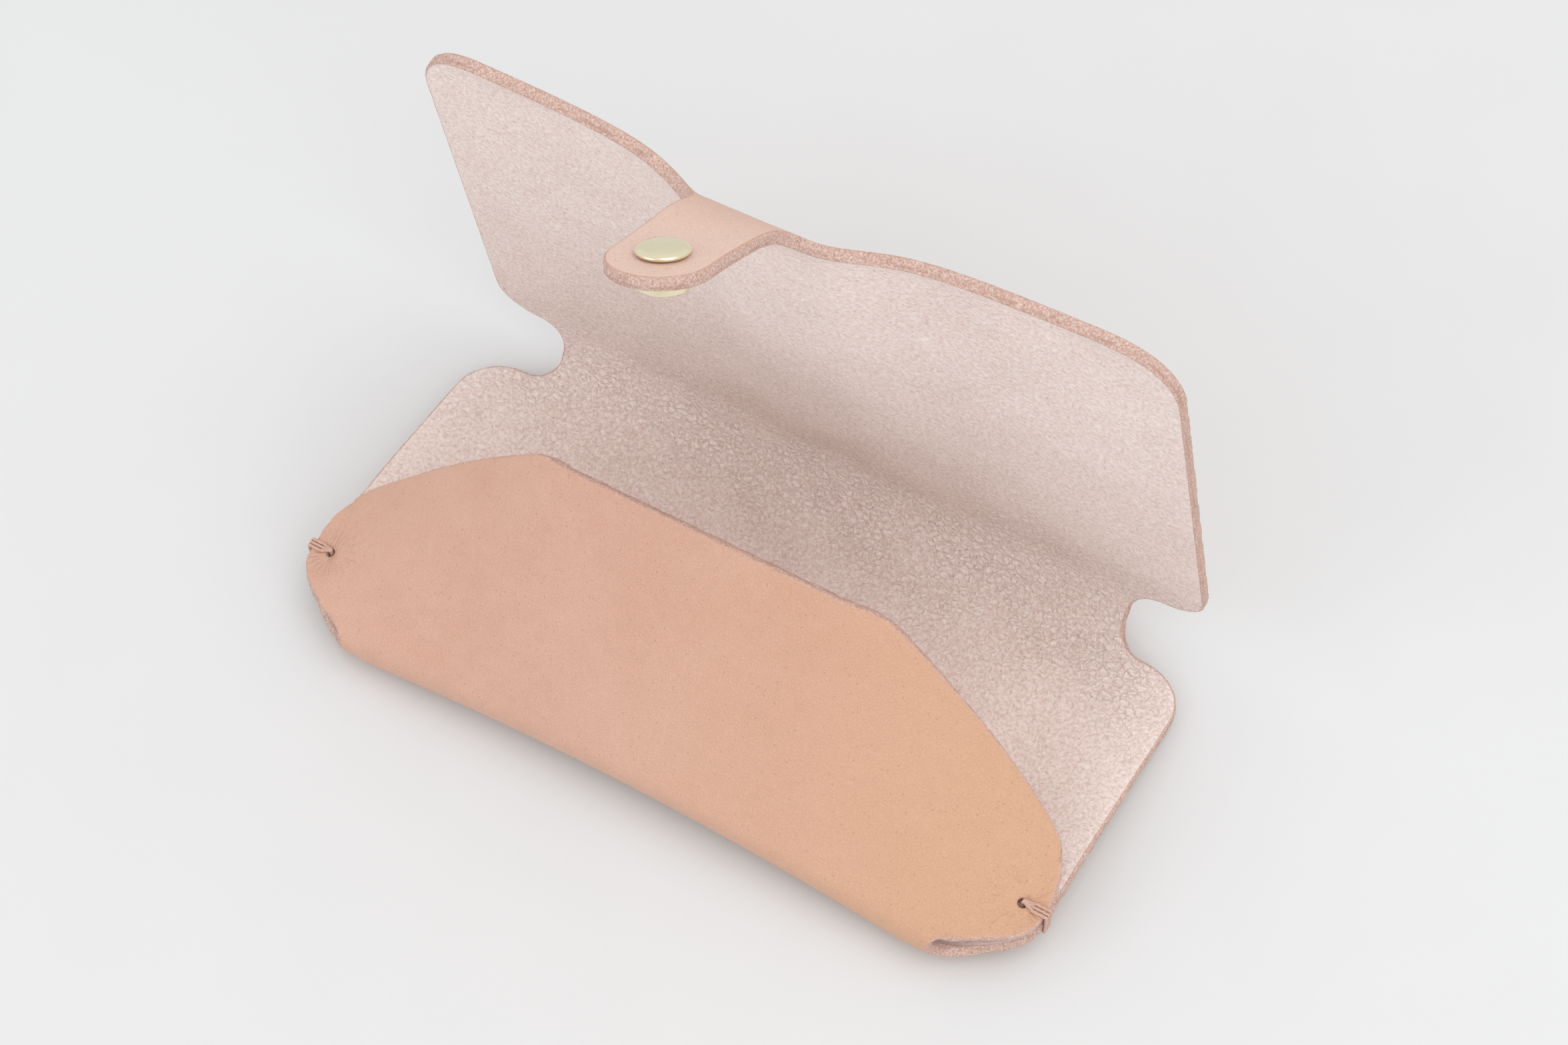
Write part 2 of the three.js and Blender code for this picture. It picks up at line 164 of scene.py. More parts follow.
FOLD_LOBE = TACK_FROM_FOLD - 5.1
NOTCH_LINE = HINGE_LINE + NOTCH_RISE
RIGHT_EDGE = rounded([
    (0, -POCKET_MOUTH, 0),
    (MOUTH_HALF_WIDTH, -POCKET_MOUTH, 14),
    (EAR_HALF_WIDTH, -EAR_HEIGHT, 15),
    (EAR_HALF_WIDTH, -FOLD_LOBE, 9),
    (FOLD_HALF_WIDTH - 3.5, 0, 4),
    (EAR_HALF_WIDTH, FOLD_LOBE, 9),
    (BACK_HALF_WIDTH, NOTCH_LINE - NOTCH_RADIUS, 10.5),
    (NOTCH_HALF_WIDTH, NOTCH_LINE - NOTCH_RADIUS, NOTCH_RADIUS - 0.1),
    (NOTCH_HALF_WIDTH, NOTCH_LINE + NOTCH_RADIUS + NOTCH_STRETCH, NOTCH_RADIUS - 0.1),
    (FLAP_HALF_WIDTH, NOTCH_LINE + NOTCH_RADIUS + NOTCH_STRETCH, 8),
    (FLAP_FREE_HALF_WIDTH, FREE_EDGE, 15),
    (TAB_HALF_WIDTH, FREE_EDGE, TAB_FILLET),
    (TAB_HALF_WIDTH, TIP, TAB_HALF_WIDTH - 0.2),
    (0, TIP, 0),
])
SEAM_ALONG = FREE_EDGE + TAB_SEAM


def split_at_seam(points):
    """The right-hand edge in two: up to the tab seam, and from it to the tip."""
    crossing = max(i for i in range(len(points)) if points[i, 1] < SEAM_ALONG)
    a, b = points[crossing], points[crossing + 1]
    meet = a + (b - a) * (SEAM_ALONG - a[1]) / (b[1] - a[1])
    return np.vstack([points[:crossing + 1], meet]), np.vstack([meet, points[crossing + 1:]])


def half_width(along):
    """How far the leather reaches from the middle line at a place along it."""
    a, b = RIGHT_EDGE[:-1], RIGHT_EDGE[1:]
    spans = (np.minimum(a[:, 1], b[:, 1]) <= along) & (along <= np.maximum(a[:, 1], b[:, 1]))
    run = np.where(np.abs(b[:, 1] - a[:, 1]) < 1e-6, 1, b[:, 1] - a[:, 1])
    across = a[:, 0] + (b[:, 0] - a[:, 0]) * (along - a[:, 1]) / run
    return float(across[spans].max())


# ---- the folded shape ----

def walk(heading, stretches, distance):
    """Follows straight and bent stretches of (length, turn) up the side view, from the bottom fold."""
    y, z = np.zeros_like(distance), np.full_like(distance, HALF + FOLD_RADIUS)
    left, angle = distance.copy(), np.full_like(distance, heading)
    for length, turn in stretches:
        step = np.minimum(left, length)
        bend = turn * step / length
        chord = step * np.sinc(bend / (2 * math.pi))
        y += chord * np.cos(angle + bend / 2)
        z += chord * np.sin(angle + bend / 2)
        angle += bend
        left -= step
    return y, z


def middle(across, along):
    """The middle of the leather at places in the flat cut, folded, in millimetres."""
    reach = np.abs(across)
    bow = 1 - (across / FOLD_HALF_WIDTH) ** 2
    bow = (bow + np.sqrt(bow ** 2 + 0.01)) / 2
    ears = EAR_LIFT * smoothstep(reach, EAR_LIFT_FROM, BACK_HALF_WIDTH)

    out = np.clip((reach - BULGE_HALF_WIDTH) / (EAR_HALF_WIDTH - 3 - BULGE_HALF_WIDTH), 0, 1)
    slope = MOUTH_SLOPE + (EAR_SLOPE - MOUTH_SLOPE) * out ** 1.35
    turn = QUARTER_TURN - np.arctan(slope)
    fade = 1 - np.clip(-along / POCKET_MOUTH, 0, 1)
    front_stretches = [(FOLD_RADIUS * turn, -turn), (POCKET_MOUTH, 0)]
    front_y, front_z = walk(QUARTER_TURN, front_stretches, np.maximum(-along, 0))
    pull = np.exp(-((reach - EAR_HALF_WIDTH) / 14) ** 2 - ((along + TACK_FROM_FOLD) / 9) ** 2)
    front_y += FOLD_BOW * bow * fade
    front_z += STUD_RISE * bow * fade - TACK_PULL * pull + ears * (1 - smoothstep(-along, 0, 6))

    drawn = MIDDLE_LEAN / (1 + (np.maximum(0, reach - DRAWN_HALF_WIDTH) / DRAWN_FADE) ** 2)
    curl = QUARTER_TURN - FLAP_LEAN - TAB_ANGLE - drawn
    back_y, back_z = walk(-QUARTER_TURN, [
        (BACK_START, QUARTER_TURN),
        (POCKET_DEPTH - FOLD_RADIUS, 0),
        (HINGE_RADIUS * HINGE_TURN, HINGE_TURN + drawn),
        (FLAP_LENGTH - TAB_CURL_START, 0),
        (TAB_CURL_RADIUS * curl, curl),
        (TAB_LENGTH, 0),
    ], np.maximum(along, 0))
    back_y += FOLD_BOW * bow * (1 - smoothstep(along, 0, 40))
    back_z += STUD_RISE * bow * (1 - smoothstep(along, STUD_FROM_FOLD + 9, BOW_ENDS))
    back_z += ears * (1 - smoothstep(along, TACK_FROM_FOLD + 4, HINGE_LINE + 10))

    twist = TAB_TWIST * smoothstep(along, FREE_EDGE, SNAP_AT)
    back_y += across * np.sin(twist) * math.sin(TAB_ANGLE)
    back_z += across * np.sin(twist) * math.cos(TAB_ANGLE)

    front = along < 0
    y, z = np.where(front, front_y, back_y), np.where(front, front_z, back_z)
    return np.stack([across * np.cos(twist), y, z], -1)


def directions(across, along):
    """Unit directions at places in the flat cut: ahead, towards the tab, and out of the flesh side."""
    step = 0.02
    sideways = middle(across + step, along) - middle(across - step, along)
    ahead = middle(across, along + step) - middle(across, along - step)
    flesh = np.cross(sideways, ahead)
    return [d / np.linalg.norm(d, axis=-1, keepdims=True) for d in (ahead, flesh)]


def in_leather(across, along, height):
    """Places in the folded leather, in metres in the shared frame."""
    across, along = np.atleast_1d(across).astype(float), np.atleast_1d(along).astype(float)
    flesh = directions(across, along)[1]
    points = middle(across, along) + flesh * np.atleast_1d(height)[:, None]
    return (points - [0, CENTRE_Y, 0]) * MM


# ---- meshes ----

def add_mesh(name, points, faces, materials, face_materials=None, smooth=True):
    mesh = bpy.data.meshes.new(name)
    mesh.from_pydata([tuple(p) for p in points], [], faces)
    for material in materials:
        mesh.materials.append(material)
    if face_materials is not None:
        mesh.polygons.foreach_set("material_index", np.array(face_materials, np.int32))
    mesh.polygons.foreach_set("use_smooth", np.full(len(mesh.polygons), smooth))
    mesh.validate()
    piece = bpy.data.objects.new(name, mesh)
    bpy.context.scene.collection.objects.link(piece)
    return piece


def note_places(piece, name, values):
    """Keeps a vector for each vertex, which the materials read."""
    attribute = piece.data.attributes.new(name, "FLOAT_VECTOR", "POINT")
    attribute.data.foreach_set("vector", np.asarray(values, np.float32).ravel())


# How the raw edge is rounded, from the grain side to the flesh side: (in from the edge, height).
EDGE_PROFILE = [(0.5, -1.2), (0.26, -1.15), (0.08, -0.98), (0, -0.7), (0.03, -0.25),
                (0.03, 0.25), (0, 0.7), (0.09, 0.99), (0.27, 1.15), (0.5, 1.2)]
HOLE_ROUNDING = 0.6             # the rim of a hole is rounded by this share of the raw edge's rounding
GRID_REACH = 86                 # the inner points are tried this far to each side of the middle line


def edge_noise(points, heights, seed):
    """Small fibrous unevenness of a cut edge."""
    waves = np.zeros(len(points))
    rng = np.random.default_rng(seed)
    for scale, size in ((1.1, 0.045), (2.3, 0.035), (4.1, 0.025)):
        for _ in range(4):
            turn, phase = rng.uniform(0, 2 * math.pi, 2)
            lie = points @ [math.cos(turn), math.sin(turn)]
            waves += size * np.sin(scale * lie + 1.7 * scale * heights + phase)
    return waves


def inward_normals(loop):
    """Unit normals of a closed loop that point to its left, into the leather."""
    tangent = np.roll(loop, -1, 0) - np.roll(loop, 1, 0)
    normal = np.stack([-tangent[:, 1], tangent[:, 0]], 1)
    return normal / np.linalg.norm(normal, axis=1, keepdims=True)


def distance_to(loop, points):
    """The least distance from each point to a closed loop."""
    a, b = loop, np.roll(loop, -1, 0)
    best = np.full(len(points), np.inf)
    for start, end in zip(a, b):
        run = end - start
        t = np.clip(((points - start) @ run) / max(run @ run, 1e-12), 0, 1)
        best = np.minimum(best, np.linalg.norm(points - start - t[:, None] * run, axis=1))
    return best


def inside(loop, points):
    a, b = loop, np.roll(loop, -1, 0)
    odd = np.zeros(len(points), bool)
    for (ax, ay), (bx, by) in zip(a, b):
        if ay == by:
            continue
        spans = (ay > points[:, 1]) != (by > points[:, 1])
        odd ^= spans & (points[:, 0] < ax + (bx - ax) * (points[:, 1] - ay) / (by - ay))
    return odd


def within_edges(triangles, edges, start):
    """The triangles that a walk from the point start reaches without crossing one of the edges."""
    walls = {frozenset(edge) for edge in edges}
    sides = {}
    for number, face in enumerate(triangles):
        for k in range(3):
            sides.setdefault(frozenset((face[k], face[k - 1])), []).append(number)
    reached = {next(number for number, face in enumerate(triangles) if start in face)}
    waiting = list(reached)
    while waiting:
        face = triangles[waiting.pop()]
        for k in range(3):
            side = frozenset((face[k], face[k - 1]))
            if side in walls:
                continue
            for number in sides[side]:
                if number not in reached:
                    reached.add(number)
                    waiting.append(number)
    return [triangles[number] for number in sorted(reached)]


def leather_piece(name, outline, seam, spacings, fine_spots, holes, seed):
    """A piece of the hide. outline runs anticlockwise; seam flags its points on a straight cut that
    meets the next piece. spacings gives (along, step) of the rows; holes are (across, along, radius)."""
    normal = inward_normals(outline)
    corners = seam & ~(np.roll(seam, 1) & np.roll(seam, -1))
    middle_seam = seam & ~corners

    def inset(distance):
        loop = outline + normal * np.atleast_1d(distance)[:, None] * ~middle_seam[:, None]
        for i in np.flatnonzero(corners):
            raw = i - 1 if seam[(i + 1) % len(seam)] else (i + 1) % len(seam)
            towards = -np.sign(outline[i, 0])
            depth = np.atleast_1d(distance)[i % len(np.atleast_1d(distance))]
            loop[i] = outline[i] + [towards * depth / max(0.3, abs(normal[raw][0])), 0]
        return loop

    boundary = inset(EDGE_PROFILE[0][0])
    second = inset(1.25)[~seam]
    rows = []
    along = outline[:, 1].min() + 1
    while along < outline[:, 1].max():
        rows.append(along)
        along += next(step for limit, step in spacings if along < limit)
    columns = np.arange(-GRID_REACH, GRID_REACH + 0.1, 2.0)
    grid = np.array([(x, row) for row in rows for x in columns])
    for centre_x, centre_along, size in fine_spots:
        centre = np.array([centre_x, centre_along])
        grid = grid[np.linalg.norm(grid - centre, axis=1) > size]
        fine = np.array([(x, y) for x in np.arange(-size, size, 0.8) for y in np.arange(-size, size, 0.8)])
        grid = np.vstack([grid, centre + fine[np.linalg.norm(fine, axis=1) < size - 0.4]])
    grid = grid[inside(outline, grid)]
    away = distance_to(outline, grid)
    grid = grid[away > 2.0]
    hole_loops = []
    for centre_x, centre_along, radius in holes:
        turns = -np.arange(20) * 2 * math.pi / 20
        ring = np.stack([np.cos(turns), np.sin(turns)], 1)
        centre = np.array([centre_x, centre_along])
        hole_loops.append((centre, ring, radius))
        reach = radius + EDGE_PROFILE[0][0] * HOLE_ROUNDING
        for points in (grid, second):
            keep = np.linalg.norm(points - centre, axis=1) > reach + 0.55
            if points is grid:
                grid = points[keep]
            else:
                second = points[keep]
    loops = [boundary]
    loops += [centre + ring * (radius + EDGE_PROFILE[0][0] * HOLE_ROUNDING)
              for centre, ring, radius in hole_loops]
    flat = np.vstack(loops + [second, grid])
    edges, start = [], 0
    for loop in loops:
        edges += [(start + i, start + (i + 1) % len(loop)) for i in range(len(loop))]
        start += len(loop)
    _, _, triangles, kept, _, _ = delaunay_2d_cdt([Vector(p) for p in flat], edges, [], 0, 1e-6, True)
    triangles = within_edges([[kept[v][0] for v in face] for face in triangles], edges, len(flat) - 1)

    count = len(flat)
    places = [np.c_[flat, np.full(count, -HALF)], np.c_[flat, np.full(count, HALF)]]
    faces = [tuple(reversed(face)) for face in triangles]
    kinds = [0] * len(faces)
    faces += [tuple(v + count for v in face) for face in triangles]
    kinds += [1] * len(triangles)
    total, start = 2 * count, 0
    for number, loop in enumerate(loops):
        size = len(loop)
        rings = [start + np.arange(size)]
        for distance, height in EDGE_PROFILE[1:-1]:
            heights = np.full(size, height)
            if number == 0:
                rough = edge_noise(outline, heights, seed) * (1 - 0.8 * (np.abs(height) > 1.1))
                ring = inset(distance + np.where(seam, 0, np.clip(rough + 0.04, -0.02, 0.4)))
            else:
                centre, circle, radius = hole_loops[number - 1]
                ring = centre + circle * (radius + distance * HOLE_ROUNDING)
            places.append(np.c_[ring, heights])
            rings.append(total + np.arange(size))
            total += size
        rings.append(rings[0] + count)
        for below, above in zip(rings, rings[1:]):
            for i in range(size):
                j = (i + 1) % size
                faces.append((below[i], below[j], above[j], above[i]))
                kinds.append(2)
        start += size
    places = np.vstack(places)
    points = in_leather(places[:, 0], places[:, 1], places[:, 2])
    piece = add_mesh(name, points, faces, [grain_leather, suede_flesh, raw_edge], kinds)
    piece.data.set_sharp_from_angle(angle=math.radians(72))
    note_places(piece, "cut", places * MM)
    return piece


def turned(name, profile, seat, axis, material, segments=96):
    """A turned piece: its profile of (radius, height) goes round the axis from its seat."""
    axis = Vector(axis).normalized()
    side = axis.orthogonal().normalized()
    other = axis.cross(side)
    points, faces, rings = [], [], []
    for radius, height in profile:
        if rings and (radius, height) == profile[0]:
            rings.append(rings[0])
            continue
        if radius < 1e-6:
            rings.append([len(points)] * segments)
            points.append(Vector(seat) + axis * height * MM)
            continue
        rings.append(list(range(len(points), len(points) + segments)))
        for k in range(segments):
            turn = 2 * math.pi * k / segments
            outwards = side * math.cos(turn) + other * math.sin(turn)
            points.append(Vector(seat) + (axis * height + outwards * radius) * MM)
    for below, above in zip(rings, rings[1:]):
        for k in range(segments):
            n = (k + 1) % segments
            corners = [below[k], below[n], above[n], above[k]]
            face = [v for i, v in enumerate(corners) if v not in corners[:i]]
            if len(face) > 2:
                faces.append(face)
    piece = add_mesh(name, points, faces, [material])
    piece.data.set_sharp_from_angle(angle=math.radians(40))
    return piece


def arc(centre_radius, centre_height, radius, start, end, steps=6):
    """Points of a rounded corner in a turned profile, between two angles in degrees."""
    return [(centre_radius + radius * math.cos(math.radians(start + (end - start) * k / steps)),
             centre_height + radius * math.sin(math.radians(start + (end - start) * k / steps)))
            for k in range(steps + 1)]


def smooth_path(knots, steps, tension=0.35):
    """A smooth line through the knots, with tangents of tension times the run between neighbours."""
    knots = np.array(knots)
    padded = np.vstack([2 * knots[0] - knots[1], knots, 2 * knots[-1] - knots[-2]])
    points = []
    for i in range(1, len(padded) - 2):
        p0, p1, p2, p3 = padded[i - 1:i + 3]
        for k in range(steps):
            t = k / steps
            leave, arrive = tension * (p2 - p0), tension * (p3 - p1)
            points.append((2 * t ** 3 - 3 * t ** 2 + 1) * p1 + (t ** 3 - 2 * t ** 2 + t) * leave
                          + (3 * t ** 2 - 2 * t ** 3) * p2 + (t ** 3 - t ** 2) * arrive)
    return np.array(points + [knots[-1]])


def strand(path, radius, first, sides=16):
    """A twisted strand along a path in metres: its points, faces and (length, turn) places."""
    points, faces, places = [], [], []
    tangents = np.gradient(path, axis=0)
    tangents /= np.linalg.norm(tangents, axis=1, keepdims=True)
    side = Vector(tangents[0]).orthogonal().normalized()
    travelled = 0
    for i, (point, tangent) in enumerate(zip(path, tangents)):
        if i:
            travelled += np.linalg.norm(point - path[i - 1])
        tangent = Vector(tangent)
        side = (side - tangent * side.dot(tangent)).normalized()
        other = tangent.cross(side)
        for k in range(sides):
            turn = 2 * math.pi * k / sides
            ply = 1 - 0.09 * math.sin(turn * 3 + travelled / MM * 2.6) ** 2
            points.append(Vector(point) + (side * math.cos(turn) + other * math.sin(turn)) * radius * ply)
            places.append((travelled, turn * radius, 0))
    for i in range(len(path) - 1):
        for k in range(sides):
            n = (k + 1) % sides
            a, b = first + i * sides, first + (i + 1) * sides
            faces.append((a + k, a + n, b + n, b + k))
    faces.append(tuple(first + k for k in reversed(range(sides))))
    faces.append(tuple(first + (len(path) - 1) * sides + k for k in range(sides)))
    return points, faces, places


# ---- node helpers ----

def node(tree, kind, inputs=None, **settings):
    made = tree.nodes.new("ShaderNode" + kind)
    for key, value in settings.items():
        setattr(made, key, value)
    for key, value in (inputs or {}).items():
        if isinstance(value, bpy.types.NodeSocket):
            tree.links.new(value, made.inputs[key])
        else:
            made.inputs[key].default_value = value
    return made


def maths(tree, operation, *values, clamp=False):
    made = tree.nodes.new("ShaderNodeMath")
    made.operation = operation
    made.use_clamp = clamp
    for k, value in enumerate(values):
        if isinstance(value, bpy.types.NodeSocket):
            tree.links.new(value, made.inputs[k])
        else:
            made.inputs[k].default_value = value
    return made.outputs[0]


def times(tree, a, b):
    return maths(tree, "MULTIPLY", a, b)


def plus(tree, a, b):
    return maths(tree, "ADD", a, b)


def minus(tree, a, b):
    return maths(tree, "SUBTRACT", a, b)


def scaled(tree, vector, factors):
    """A vector with each of its three parts multiplied by its own factor."""
    return node(tree, "VectorMath", {0: vector, 1: factors}, operation="MULTIPLY").outputs[0]


def shifted(tree, vector, by):
    return node(tree, "VectorMath", {0: vector, 1: by}, operation="ADD").outputs[0]


def cells(tree, place, scale, **settings):
    """How far a point is from its cell's centre or, with feature set, from the nearest cell wall."""
    return node(tree, "TexVoronoi", {"Vector": place, "Scale": scale}, **settings).outputs["Distance"]


def noise(tree, place, scale, **inputs):
    """A noise texture node; the inputs are its Detail and Roughness."""
    return node(tree, "TexNoise", {"Vector": place, "Scale": scale, **inputs})


def step_between(tree, value, low, high, to_low=0.0, to_high=1.0):
    made = node(tree, "MapRange", {"Value": value, "From Min": low, "From Max": high,
                                   "To Min": to_low, "To Max": to_high}, interpolation_type="SMOOTHSTEP")
    return made.outputs["Result"]


def ramp(tree, value, *stops):
    made = node(tree, "ValToRGB", {"Fac": value})
    elements = made.color_ramp.elements
    while len(elements) < len(stops):
        elements.new(0.5)
    for element, (position, colour) in zip(elements, stops):
        element.position = position
        element.color = (*colour, 1)
    return made.outputs["Color"]


def mix(tree, share, a, b, blend="MIX"):
    made = node(tree, "Mix", data_type="RGBA", blend_type=blend)
    for key, value in ((0, share), (6, a), (7, b)):
        if isinstance(value, bpy.types.NodeSocket):
            tree.links.new(value, made.inputs[key])
        elif key:
            made.inputs[key].default_value = (*value, 1)
        else:
            made.inputs[key].default_value = value
    return made.outputs[2]


def group(name, inputs, outputs):
    tree = bpy.data.node_groups.new(name, "ShaderNodeTree")
    for label, kind, value in inputs:
        socket = tree.interface.new_socket(label, in_out="INPUT", socket_type="NodeSocket" + kind)
        if value is not None:
            socket.default_value = value
    for label, kind in outputs:
        tree.interface.new_socket(label, in_out="OUTPUT", socket_type="NodeSocket" + kind)
    return tree, tree.nodes.new("NodeGroupInput").outputs, tree.nodes.new("NodeGroupOutput").inputs


def use(tree, wanted, **inputs):
    made = tree.nodes.new("ShaderNodeGroup")
    made.node_tree = wanted
    for key, value in inputs.items():
        socket = made.inputs[key.replace("_", " ")]
        if isinstance(value, bpy.types.NodeSocket):
            tree.links.new(value, socket)
        else:
            socket.default_value = value
    return made.outputs


def linear(red, green, blue):
    """A screen colour of 0 to 255 as the linear colour that the shaders take."""
    return tuple(((c / 255 + 0.055) / 1.055) ** 2.4 if c > 10 else c / 255 / 12.92
                 for c in (red, green, blue))


def new_material(name, **constants):
    material = bpy.data.materials.new(name)
    material.use_nodes = True
    shader = material.node_tree.nodes["Principled BSDF"]
    for key, value in constants.items():
        shader.inputs[key.replace("_", " ")].default_value = value
    return material, material.node_tree, shader


# ---- shared effects ----

# Soft uneven tone of natural leather: slow cloudy patches and finer ones on them.
cloudy_tone, given, out = group("cloudy_tone", [
    ("Place", "Vector", None), ("Patch Size", "Float", 90.0)], [("Tone", "Float")])
slow = node(cloudy_tone, "TexNoise", {"Vector": given["Place"], "Scale": given["Patch Size"],
                                      "Detail": 3.0, "Roughness": 0.55}).outputs["Fac"]
fine = node(cloudy_tone, "TexNoise", {
    "Vector": given["Place"], "Scale": times(cloudy_tone, given["Patch Size"], 7.0),
    "Detail": 2.0}).outputs["Fac"]
blended = plus(cloudy_tone, times(cloudy_tone, slow, 0.72), times(cloudy_tone, fine, 0.28))
cloudy_tone.links.new(blended, out["Tone"])

# Pebbled grain with hair pores.
pore_grain, given, out = group("pore_grain", [
    ("Place", "Vector", None), ("Pebbles", "Float", 1500.0)], [("Height", "Float"), ("Pores", "Float")])
bent = noise(pore_grain, given["Place"], 260.0, Detail=2.0)
wander = scaled(pore_grain, bent.outputs["Color"], (0.0011, 0.0011, 0.0011))
moved = shifted(pore_grain, given["Place"], wander)
walls = cells(pore_grain, moved, given["Pebbles"], feature="DISTANCE_TO_EDGE")
pebble = step_between(pore_grain, walls, 0.0, 0.22)
dots = cells(pore_grain, moved, times(pore_grain, given["Pebbles"], 0.55))
pores = step_between(pore_grain, dots, 0.05, 0.2, 1.0, 0.0)
pore_grain.links.new(minus(pore_grain, pebble, times(pore_grain, pores, 0.9)), out["Height"])
pore_grain.links.new(pores, out["Pores"])

# Torn fibre texture: a felted ground with short lifted nicks and small dark pits.
torn_fibre, given, out = group("torn_fibre", [
    ("Place", "Vector", None), ("Fibre Size", "Float", 2400.0), ("Nick Share", "Float", 0.3)],
    [("Height", "Float"), ("Nicks", "Float"), ("Pits", "Float"), ("Felt", "Float")])
drift = noise(torn_fibre, given["Place"], 300.0, Detail=3.0)
sway = scaled(torn_fibre, drift.outputs["Color"], (0.002, 0.002, 0.002))
swayed = shifted(torn_fibre, given["Place"], sway)
felt = node(torn_fibre, "TexNoise", {"Vector": swayed, "Scale": given["Fibre Size"],
                                     "Detail": 4.0, "Roughness": 0.7}).outputs["Fac"]
patchy = noise(torn_fibre, swayed, 420.0, Detail=2.0).outputs["Fac"]
chosen = step_between(torn_fibre, patchy, minus(torn_fibre, 0.85, given["Nick Share"]), 0.85)
slanted = scaled(torn_fibre, swayed, (1.0, 0.45, 1.0))
flakes = cells(torn_fibre, slanted, times(torn_fibre, given["Fibre Size"], 0.3))
lone = step_between(torn_fibre, flakes, 0.05, 0.26, 1.0, 0.0)
nicks = times(torn_fibre, lone, chosen)
dots = cells(torn_fibre, swayed, times(torn_fibre, given["Fibre Size"], 0.38))
pits = times(torn_fibre, step_between(torn_fibre, dots, 0.04, 0.2, 1.0, 0.0),
             step_between(torn_fibre, patchy, 0.5, 0.36))
raised = plus(torn_fibre, times(torn_fibre, felt, 0.8), times(torn_fibre, nicks, 0.5))
torn_fibre.links.new(minus(torn_fibre, raised, times(torn_fibre, pits, 0.4)), out["Height"])
torn_fibre.links.new(nicks, out["Nicks"])
torn_fibre.links.new(pits, out["Pits"])
torn_fibre.links.new(felt, out["Felt"])

# Faint scuffs and dust on metal.
handled_metal, given, out = group("handled_metal", [
    ("Place", "Vector", None), ("Scratch Size", "Float", 900.0)], [("Wear", "Float")])
stretched = scaled(handled_metal, given["Place"], (1.0, 0.12, 0.5))
scratch = noise(handled_metal, stretched, given["Scratch Size"], Detail=4.0).outputs["Fac"]
smear = noise(handled_metal, given["Place"], 160.0, Detail=2.0).outputs["Fac"]
handled_metal.links.new(plus(handled_metal, times(handled_metal, scratch, 0.6),
                              times(handled_metal, smear, 0.4)), out["Wear"])


# ---- materials ----

def cut_place(tree):
    """Where a point lies in the flat cut, in metres, and its across, along and height parts."""
    place = node(tree, "Attribute", attribute_name="cut").outputs["Vector"]
    parts = node(tree, "SeparateXYZ", {0: place}).outputs
    return place, parts[0], parts[1], parts[2]


def make_grain():
    material, tree, shader = new_material("grain_leather", Roughness=0.55, Sheen_Weight=0.08,
                                          Sheen_Roughness=0.5, Specular_IOR_Level=0.42)
    place, across, along, _ = cut_place(tree)
    tone = use(tree, cloudy_tone, Place=place, Patch_Size=34.0)["Tone"]
    grain = use(tree, pore_grain, Place=place, Pebbles=1350.0)
    colour = ramp(tree, tone, (0.3, linear(205, 160, 137)), (0.5, linear(209, 166, 145)),
                  (0.72, linear(213, 172, 152)))
    # Painted light: the hide is tinted warmer towards its right-hand side, where the lighting warms it.
    painted_light_warmth = step_between(tree, across, -0.03, 0.08, 0.0, 0.75)
    colour = mix(tree, painted_light_warmth, colour, linear(209, 163, 129))
    # Painted highlight: the curl of the tab is painted paler where the light catches its bend.
    stretched = step_between(tree, along, (FREE_EDGE - 4) * MM, (SNAP_AT - 6) * MM, 0.0, 0.75)
    # Painted highlight colour on the tab's curl.
    colour = mix(tree, stretched, colour, linear(233, 203, 188))
    colour = mix(tree, times(tree, grain["Pores"], 0.34), colour, linear(176, 126, 104))
    # Fine wrinkles radiate from each tack.
    out_x = minus(tree, maths(tree, "ABSOLUTE", across), TACK_X * MM)
    out_y = plus(tree, along, TACK_FROM_FOLD * MM)
    away = maths(tree, "SQRT", plus(tree, times(tree, out_x, out_x), times(tree, out_y, out_y)))
    turn = maths(tree, "ARCTAN2", out_y, out_x)
    uneven = noise(tree, place, 420.0, Detail=2.0).outputs["Fac"]
    rays = maths(tree, "SINE", plus(tree, times(tree, turn, 21.0), times(tree, uneven, 9.0)))
    near = times(tree, step_between(tree, away, 0.0022, 0.0125, 1.0, 0.0),
                 step_between(tree, uneven, 0.36, 0.62))
    wrinkles = times(tree, rays, near)
    # Slight creases run along the front of the bottom fold.
    lengthwise = scaled(tree, place, (0.16, 1.0, 1.0))
    crease = noise(tree, lengthwise, 620.0, Detail=3.0).outputs["Fac"]
    fold = step_between(tree, maths(tree, "ABSOLUTE", plus(tree, along, 9 * MM)), 0.002, 0.022, 1.0, 0.0)
    creases = times(tree, crease, times(tree, fold, 0.8))
    relief = plus(tree, times(tree, grain["Height"], 0.5), plus(tree, times(tree, wrinkles, 1.0), creases))
    bump = node(tree, "Bump", {"Strength": 0.6, "Distance": 0.00022, "Height": relief})
    tree.links.new(bump.outputs["Normal"], shader.inputs["Normal"])
    tree.links.new(colour, shader.inputs["Base Color"])
    tree.links.new(step_between(tree, tone, 0.25, 0.75, 0.5, 0.6), shader.inputs["Roughness"])
    return material


